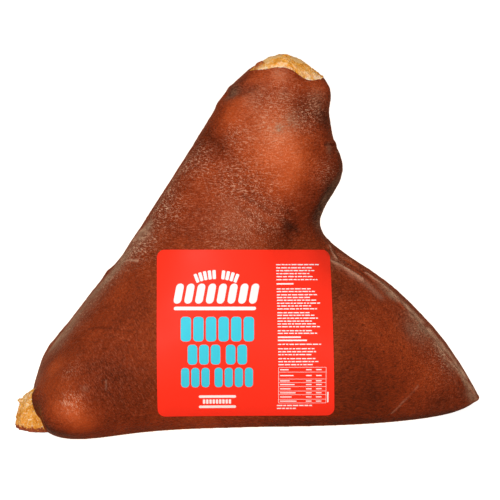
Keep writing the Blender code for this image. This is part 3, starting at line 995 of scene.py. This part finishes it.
# The lobe of fat that stands out past the rind beside the knee.
def buildFatLobe():
    bm = bmesh.new()
    bmesh.ops.create_icosphere(bm, subdivisions=fat["subdivisions"], radius=1.0)
    mesh = bpy.data.meshes.new("fatLobe")
    bm.to_mesh(mesh)
    bm.free()
    ways, _, _ = meshArrays(mesh)
    ways /= np.linalg.norm(ways, axis=1)[:, None]
    full = np.sign(ways) * np.abs(ways) ** fat["fullness"]
    points = np.array(fat["centre"]) + full * np.array(fat["reach"]) * fat["shrink"]
    for scale, rise in fat["crags"]:
        points += ways * (rise * (waves(points, scale, scale * 500) - fat["cragLevel"]))[:, None]
    points[:, 0] += fat["lean"] * np.maximum(points[:, 2] - fat["centre"][2], 0.0)
    away = np.linalg.norm(points - np.array(fat["spike"]["place"]), axis=1) / fat["spike"]["radius"]
    points += ways * (fat["spike"]["length"] * np.exp(-(away**2)))[:, None]
    points = np.clip(points, np.array(cadBox[0]), np.array(cadBox[1]))
    points[:, 2] = np.maximum(points[:, 2], fat["clearance"])
    setPoints(mesh, points)
    setMask(mesh, "height", points[:, 2])
    return mesh


fatFinish = {
    "tones": (
        (0.42, (0.56, 0.21, 0.022)),
        (0.51, (0.74, 0.32, 0.044)),
        (0.59, (0.78, 0.39, 0.085)),
        (0.72, (0.9, 0.64, 0.34)),
    ),
    "clouds": (0.0075, 0.7),  # size and share of the tone, as for the crumbs
    "crumbs": (0.0014, 0.45),
    "meat": (0.3, 0.07, 0.026),
    "cream": (0.93, 0.79, 0.59),
    # how high the meat stands on the lobe: how far it wanders, its least height and its blur, in metres
    "lowMeat": (0.007, 0.0002, 0.0008),
    # from which strength of the clouds or crumbs each kind of spot shows, and how sharply
    "grains": (0.6, 5.0),
    "meatDots": (0.68, 6.0),
    "rimCream": (0.8, 0.42, 40.0),
    "roughness": 0.5,
    "gloss": 0.03,
    "bump": (0.9, 0.001),
    "subsurface": {"Weight": 0.15, "Radius": (1.0, 0.5, 0.2), "Scale": 0.002},
}


# A crumbly material, its shader, its clouds and its colour, which the caller may add to.
def crumblyMaterial(name, finish):
    made, tree, shader = newMaterial(name)
    (cloudSize, cloudShare), (crumbSize, crumbShare) = finish["clouds"], finish["crumbs"]
    clouds = addNode(tree, "Group", node_tree=mottle, _Size=cloudSize, _Fine_Size=crumbSize).outputs
    share = plus(times(clouds["Clouds"], cloudShare), times(clouds["Specks"], crumbShare))
    addBump(shader, clouds["Specks"], *finish["bump"])
    feed(shader.inputs["Roughness"], finish["roughness"])
    feed(shader.inputs["Specular IOR Level"], finish["gloss"])
    return made, shader, clouds, rampOf(share, finish["tones"])


# Crumbly golden fat. The masks say where red-brown meat and cream-coloured tissue show instead.
def fatMaterial(name, meatMask, creamMask):
    made, shader, clouds, colour = crumblyMaterial(name, fatFinish)
    colour = mixColours(creamMask(clouds), colour, fatFinish["cream"])
    colour = mixColours(meatMask(clouds), colour, fatFinish["meat"])
    feed(shader.inputs["Base Color"], colour)
    for key, value in fatFinish["subsurface"].items():
        feed(shader.inputs["Subsurface " + key], value)
    return made


# Meat along the bottom of the lobe, with a ragged upper edge.
def lowMeat(clouds):
    wander, least, blur = fatFinish["lowMeat"]
    height = readMask(clouds["Specks"].id_data, "height")
    return over(minus(scaled(clouds["Specks"], wander, least), height), blur, clamp=True)


# Pale grains here and there on the lobe.
def fatGrains(clouds):
    start, sharpness = fatFinish["grains"]
    return times(minus(clouds["Specks"], start, clamp=True), sharpness, clamp=True)


# The shred of red-brown meat, and a few dots of it near the crest.
def shredMeat(clouds):
    start, sharpness = fatFinish["meatDots"]
    dots = times(minus(clouds["Specks"], start, clamp=True), sharpness)
    shred = readMask(clouds["Specks"].id_data, "meatShare")
    return larger(dots, times(shred, plus(clouds["Specks"], 0.5)), clamp=True)


# Cream-coloured tissue along the rim, in pieces.
def rimCream(clouds):
    inner, start, sharpness = fatFinish["rimCream"]
    edge = minus(readMask(clouds["Clouds"].id_data, "rimShare"), inner, clamp=True)
    return times(times(edge, minus(clouds["Clouds"], start, clamp=True)), sharpness, clamp=True)


shankTissue = fatMaterial("shankTissue", shredMeat, rimCream)
crumblyFat = fatMaterial("crumblyFat", lowMeat, fatGrains)
shankCutPiece = pieceFrom(buildShankCut(), "shankCut", "rind", shankTissue)
fatLobePiece = pieceFrom(buildFatLobe(), "fatLobe", "rind", crumblyFat)
for piece in (shankCutPiece, fatLobePiece):
    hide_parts("ham")
print("fat built")

boneFinish = {
    "voxel": 0.0008,
    "smoothing": 20,
    "freeZone": (0.0005, 0.004),
    "cragZone": (0.002, 0.006),
    "cragLevel": 0.3,
    "crags": ((0.006, 0.0006), (0.0022, 0.00045)),
    "tones": (
        (0.42, (0.72, 0.32, 0.04)),
        (0.5, (0.9, 0.48, 0.1)),
        (0.57, (0.96, 0.64, 0.24)),
        (0.68, (0.97, 0.84, 0.6)),
    ),
    "clouds": (0.008, 0.65),
    "crumbs": (0.0012, 0.45),
    "roughness": 0.55,
    "gloss": 0.03,
    "bump": (0.8, 0.0008),
}


def boneMaterial():
    made, shader, _, colour = crumblyMaterial("cutBone", boneFinish)
    feed(shader.inputs["Base Color"], colour)
    return made


def buildBone():
    mesh = nodes["leg_bone"].data.copy()
    bm = bmesh.new()
    bm.from_mesh(mesh)
    bmesh.ops.remove_doubles(bm, verts=bm.verts, dist=1e-6)
    bm.to_mesh(mesh)
    bm.free()
    mesh = remeshed(mesh, boneFinish["voxel"])
    points, _, edges = meshArrays(mesh)
    free = smoothStep(*boneFinish["freeZone"], points[:, 2])
    setPoints(mesh, relaxed(points, edges, boneFinish["smoothing"], free))
    points, normals, _ = meshArrays(mesh)
    level = boneFinish["cragLevel"]
    push = sum(rise * (waves(points, scale, scale * 300) - level) for scale, rise in boneFinish["crags"])
    points += normals * (push * smoothStep(*boneFinish["cragZone"], points[:, 2]))[:, None]
    setPoints(mesh, points)
    return mesh


legBone = pieceFrom(buildBone(), "legBone", "bone", boneMaterial())
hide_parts("leg_bone")
print("bone built")


# Where the label lies on the skin: a grid of distances from a plane that faces the camera, evened out as
# stiff paper does. The label's flat places are X and height on that plane.
def labelDepths():
    step = label["step"]
    before, past = label["margin"] * step, (label["margin"] + 1) * step
    across = np.arange(label["left"] - before, label["right"] + past, step)
    heights = np.arange(label["low"] - before, label["high"] + past, step)
    depths = np.empty((len(heights), len(across)))
    middle = Vector(label["middle"])
    for i, height in enumerate(heights):
        for j, x in enumerate(across):
            start = middle + Vector((x, 0, 0)) + lookUp * height - lookWay * 0.5
            _, _, _, distance = rindSkin.ray_cast(start, lookWay)
            depths[i, j] = distance - 0.5 if distance else np.nan
    known = np.isfinite(depths)
    depths[~known] = np.interp(np.flatnonzero(~known), np.flatnonzero(known), depths[known])
    for _ in range(label["evening"]):
        padded = np.pad(depths, 1, mode="edge")
        beside = padded[:-2, 1:-1] + padded[2:, 1:-1] + padded[1:-1, :-2] + padded[1:-1, 2:]
        depths = (beside + 4 * depths) / 8
    return across, heights, depths


labelGrid = labelDepths()


# The place on the laid label of one point of its flat sheet, lifted off the skin.
def labelPlace(x, height, lift):
    across, heights, depths = labelGrid
    i = np.clip((height - heights[0]) / label["step"], 0, len(heights) - 1.001)
    j = np.clip((x - across[0]) / label["step"], 0, len(across) - 1.001)
    i0, j0 = int(i), int(j)
    u, v = i - i0, j - j0
    depth = (depths[i0, j0] * (1 - v) + depths[i0, j0 + 1] * v) * (1 - u)
    depth += (depths[i0 + 1, j0] * (1 - v) + depths[i0 + 1, j0 + 1] * v) * u
    return Vector(label["middle"]) + Vector((x, 0, 0)) + lookUp * height + lookWay * (depth - lift)


# The outline of a box with round corners, as pairs of X and height.
def roundedBox(left, low, right, high, radius, steps=4):
    corners = ((right, high, 0), (left, high, 1), (left, low, 2), (right, low, 3))
    outline = []
    for x, y, quarter in corners:
        x += radius if quarter in (1, 2) else -radius
        y += radius if quarter in (2, 3) else -radius
        for i in range(steps + 1):
            angle = math.pi / 2 * (quarter + i / steps)
            outline.append((x + radius * math.cos(angle), y + radius * math.sin(angle)))
    return outline


# Lays flat outlines on the label: cut into small faces, laid on its sheet and thickened outwards.
def flatPiece(outlines, name, material, lift, thickness):
    bm = bmesh.new()
    for outline in outlines:
        bm.faces.new([bm.verts.new((x, y, 0)) for x, y in outline])
    for axis, low, high in ((0, label["left"], label["right"]), (1, label["low"], label["high"])):
        way = Vector((1, 0, 0)) if axis == 0 else Vector((0, 1, 0))
        for place in np.arange(low, high, label["cut"]):
            everything = bm.verts[:] + bm.edges[:] + bm.faces[:]
            bmesh.ops.bisect_plane(bm, geom=everything, dist=1e-7, plane_co=way * place, plane_no=way)
    bmesh.ops.triangulate(bm, faces=bm.faces)
    for vert in bm.verts:
        vert.co = labelPlace(vert.co.x, vert.co.y, lift)
    bm.normal_update()
    for face in bm.faces:
        if face.normal.dot(lookWay) > 0:
            face.normal_flip()
    top = bm.faces[:]
    made = bmesh.ops.extrude_face_region(bm, geom=top, use_keep_orig=True)
    raised = [each for each in made["geom"] if isinstance(each, bmesh.types.BMVert)]
    for vert in raised:
        vert.co -= lookWay * thickness
    for face in top:
        face.normal_flip()
    mesh = bpy.data.meshes.new(name)
    bm.to_mesh(mesh)
    bm.free()
    piece = pieceFrom(mesh, name, "label", material)
    mesh.set_sharp_from_angle(angle=math.radians(label["sharpAngle"]))
    return piece


labelFinish = {
    "red": (0.9, 0.0325, 0.0142),
    "white": (0.86, 0.86, 0.89),
    "cyan": (0.046, 0.565, 0.745),
    "cloudSize": 0.01,
    "toothSize": 0.0006,
    "darkest": 0.95,
    "roughness": 0.42,
    "gloss": 0.08,
    "bump": (0.15, 0.0001),
}


# Printed paper: even colour with the faint cloudiness and tooth of coated stock.
def inkMaterial(name, ink):
    made, tree, shader = newMaterial(name)
    sizes = {"_Size": labelFinish["cloudSize"], "_Fine_Size": labelFinish["toothSize"]}
    clouds = addNode(tree, "Group", node_tree=mottle, **sizes).outputs
    colour = labelFinish[ink]
    dark = tuple(labelFinish["darkest"] * channel for channel in colour)
    feed(shader.inputs["Base Color"], mixColours(clouds["Clouds"], colour, dark))
    addBump(shader, clouds["Specks"], *labelFinish["bump"])
    feed(shader.inputs["Roughness"], labelFinish["roughness"])
    feed(shader.inputs["Specular IOR Level"], labelFinish["gloss"])
    return made


# The sheet's outline, which draws in a little to the top on the right and to the bottom on the left.
def sheetOutline():
    outline = []
    for x, y in roundedBox(label["left"], label["low"], label["right"], label["high"], label["corner"], 8):
        share = (y - label["low"]) / (label["high"] - label["low"])
        if x > 0:
            outline.append((x - label["drawIn"] * share**2, y))
        else:
            outline.append((x + label["drawInLeft"] * (1 - share), y))
    return outline


redPaper = inkMaterial("redPaper", "red")
labelSheet = flatPiece([sheetOutline()], "labelSheet", redPaper, label["lift"], label["thickness"])
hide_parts("label")
print("label laid")

# The print: plain blocks and lines. Places and widths are points of the picture, as the camera sees them on
# the label. The corners' radii, the gap and the thickness are in metres.
labelPrint = {
    "nearness": 0.981,  # the label is nearer to the camera than its aim is
    "gap": 0.00002,
    "thickness": 0.00004,
    "arcRow": {
        "centre": (216.5, 330),
        "radius": 55.5,
        "blocks": 9,
        "gapAfter": 5,
        "size": (3.3, 9.0),
        "spread": 42.0,
        "corner": 0.0006,
    },
    "bannerRow": {
        "left": 175,
        "right": 258,
        "top": 283.5,
        "bottom": 303.5,
        "count": 8,
        "lean": 0.18,
        "gap": 3.0,
    },
    "bannerBar": (174, 306.5, 256, 310),
    "bannerCorners": (0.0024, 0.0014),
    # each row: its box, the blocks in each group, the gap between blocks and the space between groups
    "cyanRows": (
        ((181, 316.5, 254, 341), (6,), 2.2, 0.0),
        ((188, 344.2, 247, 364), (3, 2), 2.0, 5.5),
        ((181.5, 367.2, 253, 386.8), (3, 4), 2.0, 5.0),
    ),
    "cyanCorner": 0.0022,
    "badge": {
        "bars": ((199, 395, 236, 397.6), (199, 405.4, 236, 408)),
        "words": (203, 399.2, 232, 403.6),
        "count": 9,
        "fullness": 0.72,
        "corners": (0.0008, 0.0004),
    },
    "smallLines": {
        "left": 276.2,
        "right": 319.5,
        "drift": 0.021,
        "tops": (
            *(264.2, 267.4, 270.2, 273.2, 276.2, 279.2, 288.4, 291.1, 294.3, 297),
            *(299.7, 302.7, 305.4, 308.3, 312.1, 314.7, 317.6, 320.5, 323.2, 326),
            *(330, 332.6, 343.5, 347.9, 350.9, 353.8, 357.8, 360.8, 363.8),
        ),
        "height": 1.02,
        "boldTops": (283.2, 336.2, 339.4),
        "boldWidth": (17, 6),
        "boldHeight": 1.4,
        "words": (2.0, 6.0),
        "space": 0.9,
        "leastWord": 1.5,
    },
    "table": {
        "box": (278.5, 367, 326, 403.2),
        "rules": (371.8, 378.8, 382.4, 386.4, 391, 394.6, 399.4),
        "ruleHalf": 0.16,
        "names": (1.5, 10),
        "columns": (306, 316),
        "columnWidth": 5.5,
        "textHalf": 0.5,
    },
    "footLines": ((277, 405.2, 314, 406.4), (277, 408.2, 296, 409.4)),
    "edgeMark": (327.2, 392.0, 328.6, 402.6),
}


# Flat place on the label of a point of the picture.
def onLabel(px, py):
    step = camera["pictureWidth"] / camera["pictureSide"] * labelPrint["nearness"]
    half = camera["pictureSide"] / 2
    aimHeight = (Vector(camera["aim"]) - Vector(label["middle"])) @ lookUp
    return (px - half) * step + camera["aim"][0], (half - py) * step + aimHeight


# A block of print between two corners of the picture, which may lean and have round corners.
def printBox(left, top, right, bottom, radius=0.0, lean=0.0):
    x0, y1 = onLabel(left, top)
    x1, y0 = onLabel(right, bottom)
    radius = min(radius, (x1 - x0) * 0.48, (y1 - y0) * 0.48)
    if radius > 0:
        outline = roundedBox(x0, y0, x1, y1, radius)
    else:
        outline = [(x1, y1), (x0, y1), (x0, y0), (x1, y0)]
    middle = (y0 + y1) / 2
    return [(x + (y - middle) * lean, y) for x, y in outline]


# Splits a line of small print into word-long dashes.
def wordBreaks(seed, left, right):
    rng = np.random.default_rng(seed)
    lines = labelPrint["smallLines"]
    dashes = []
    at = left
    while at < right - lines["leastWord"]:
        end = min(at + rng.uniform(*lines["words"]), right)
        dashes.append((at, end))
        at = end + lines["space"]
    return dashes


# Small blocks side by side on an arc, with a gap in the row.
def arcBlocks():
    row = labelPrint["arcRow"]
    (cx, cy), (wide, tall) = row["centre"], row["size"]
    top = cy - row["radius"] - tall / 2
    block = printBox(cx - wide / 2, top, cx + wide / 2, top + tall, row["corner"])
    pivot = onLabel(cx, cy)
    slots = row["blocks"] + 1
    outlines = []
    for i in range(slots):
        if i == row["gapAfter"]:
            continue
        turn = math.radians(row["spread"] * (i / (slots - 1) - 0.5))
        turned = []
        for x, y in block:
            dx, dy = x - pivot[0], y - pivot[1]
            turned.append((
                pivot[0] + dx * math.cos(turn) + dy * math.sin(turn),
                pivot[1] - dx * math.sin(turn) + dy * math.cos(turn),
            ))
        outlines.append(turned)
    return outlines


# Tall rounded blocks in groups, which fill the row's box.
def rowBlocks(box, groups, gap, space):
    left, top, right, bottom = box
    count = sum(groups)
    spaces = gap * (count - len(groups)) + space * (len(groups) - 1)
    wide = (right - left - spaces) / count
    outlines = []
    at = left
    for group in groups:
        for _ in range(group):
            outlines.append(printBox(at, top, at + wide, bottom, labelPrint["cyanCorner"]))
            at += wide + gap
        at += space - gap
    return outlines


def bannerBlocks():
    row = labelPrint["bannerRow"]
    blockCorner, barCorner = labelPrint["bannerCorners"]
    wide = (row["right"] - row["left"] - row["gap"] * (row["count"] - 1)) / row["count"]
    outlines = []
    for i in range(row["count"]):
        at = row["left"] + i * (wide + row["gap"])
        outlines.append(printBox(at, row["top"], at + wide, row["bottom"], blockCorner, row["lean"]))
    outlines.append(printBox(*labelPrint["bannerBar"], barCorner, row["lean"]))
    return outlines


# The column of fine lines, with ragged right ends.
def columnPrint():
    lines = labelPrint["smallLines"]
    outlines = []
    for i, top in enumerate(lines["tops"]):
        aside = lines["drift"] * (top - lines["tops"][0])
        for left, right in wordBreaks(i, lines["left"] + aside, lines["right"] + aside - (i * 7) % 11):
            outlines.append(printBox(left, top, right, top + lines["height"]))
    least, more = lines["boldWidth"]
    for i, top in enumerate(lines["boldTops"]):
        left = lines["left"] + lines["drift"] * (top - lines["tops"][0])
        bottom = top + lines["height"] * lines["boldHeight"]
        outlines.append(printBox(left, top, left + least + more * i, bottom))
    return outlines


# The small table: its rules, then a name and two values in each row.
def tablePrint():
    table = labelPrint["table"]
    left, top, right, bottom = table["box"]
    rule, half = table["ruleHalf"], table["textHalf"]
    start, end = table["names"]
    rows = (top, *table["rules"], bottom)
    outlines = [printBox(left, y - rule, right, y + rule) for y in rows]
    outlines += [printBox(x - rule, top, x + rule, bottom) for x in (left, right)]
    for i, (a, b) in enumerate(zip(rows, rows[1:])):
        y = (a + b) / 2
        outlines.append(printBox(left + start, y - half, left + end + (i * 5) % 9, y + half))
        for x in table["columns"]:
            outlines.append(printBox(x, y - half, x + table["columnWidth"], y + half))
    return outlines


# The notes under the table, the mark beside it and the badge.
def footPrint():
    outlines = []
    for left, top, right, bottom in labelPrint["footLines"]:
        outlines += [printBox(a, top, b, bottom) for a, b in wordBreaks(int(top), left, right)]
    outlines.append(printBox(*labelPrint["edgeMark"]))
    badge = labelPrint["badge"]
    barCorner, wordCorner = badge["corners"]
    outlines += [printBox(*bar, barCorner) for bar in badge["bars"]]
    left, top, right, bottom = badge["words"]
    wide = (right - left) / badge["count"]
    for i in range(badge["count"]):
        at = left + i * wide
        outlines.append(printBox(at, top, at + badge["fullness"] * wide, bottom, wordCorner))
    return outlines


inkLift = label["lift"] + label["thickness"] + labelPrint["gap"]
whiteInk = inkMaterial("whiteInk", "white")
cyanInk = inkMaterial("cyanInk", "cyan")
whiteShapes = arcBlocks() + bannerBlocks() + columnPrint() + tablePrint() + footPrint()
cyanShapes = [outline for row in labelPrint["cyanRows"] for outline in rowBlocks(*row)]
labelWhite = flatPiece(whiteShapes, "labelWhite", whiteInk, inkLift, labelPrint["thickness"])
labelCyan = flatPiece(cyanShapes, "labelCyan", cyanInk, inkLift, labelPrint["thickness"])
for piece in (labelWhite, labelCyan):
    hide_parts("label")
print("print laid")


# The studio: a white floor, a bright room and soft lamps.
studio = {
    "roomLight": 0.22,
    "roomColour": (1.0, 0.68, 0.44),
    "backdrop": 1.0,
    "floorSize": 8.0,
    "floorColour": (0.8, 0.6, 0.43),
    "floorGlow": 0.94,
    "floorRoughness": 0.9,
    "floorGloss": 0.1,
    "lampAim": (0.0, 0.0, 0.09),
    "lamps": {
        "key": {"place": (-0.55, -1.75, 1.0), "size": 0.55, "watts": 30.0},
        "fill": {"place": (0.9, -1.6, 0.45), "size": 0.8, "watts": 7.0},
        "top": {"place": (0.05, 0.1, 1.6), "size": 1.0, "watts": 6.0},
    },
}


def buildStudio():
    half = studio["floorSize"] / 2
    corners = [(-half, -half, 0), (half, -half, 0), (half, half, 0), (-half, half, 0)]
    mesh = bpy.data.meshes.new("floor")
    mesh.from_pydata(corners, [], [(0, 1, 2, 3)])
    paper, tree, shader = newMaterial("floorPaper")
    feed(shader.inputs["Base Color"], studio["floorColour"])
    feed(shader.inputs["Roughness"], studio["floorRoughness"])
    feed(shader.inputs["Specular IOR Level"], studio["floorGloss"])
    feed(shader.inputs["Emission Color"], (1.0, 1.0, 1.0))
    seenStraight = addNode(tree, "LightPath").outputs["Is Camera Ray"]
    feed(shader.inputs["Emission Strength"], times(seenStraight, studio["floorGlow"]))
    mesh.materials.append(paper)
    newObject("floor", mesh)
    for name, lamp in studio["lamps"].items():
        light = bpy.data.lights.new(name, "AREA")
        light.shape = "DISK"
        light.size = lamp["size"]
        light.energy = lamp["watts"]
        holder = newObject(name, light)
        holder.location = lamp["place"]
        way = Vector(studio["lampAim"]) - Vector(lamp["place"])
        holder.rotation_euler = way.to_track_quat("-Z", "Y").to_euler()
    room = bpy.data.worlds.new("room")
    room.use_nodes = True
    tree = room.node_tree
    light = tree.nodes["Background"]
    feed(light.inputs["Color"], studio["roomColour"])
    feed(light.inputs["Strength"], studio["roomLight"])
    seen = addNode(tree, "Background", _Color=(1.0, 1.0, 1.0), _Strength=studio["backdrop"])
    mix = addNode(tree, "MixShader", _Fac=addNode(tree, "LightPath").outputs["Is Camera Ray"])
    feed(mix.inputs[1], light.outputs[0])
    feed(mix.inputs[2], seen.outputs[0])
    feed(tree.nodes["World Output"].inputs["Surface"], mix.outputs[0])
    bpy.context.scene.world = room
    bpy.context.scene.view_settings.view_transform = "Standard"


def buildCamera():
    lens = bpy.data.cameras.new("camera")
    lens.sensor_width = camera["sensor"]
    lens.lens = camera["sensor"] * camera["distance"] / camera["pictureWidth"]
    lens.clip_start = 0.05
    holder = newObject("camera", lens)
    holder.location = cameraPlace
    holder.rotation_euler = lookWay.to_track_quat("-Z", "Y").to_euler()
    bpy.context.scene.camera = holder


buildStudio()
buildCamera()
print("studio and camera set")
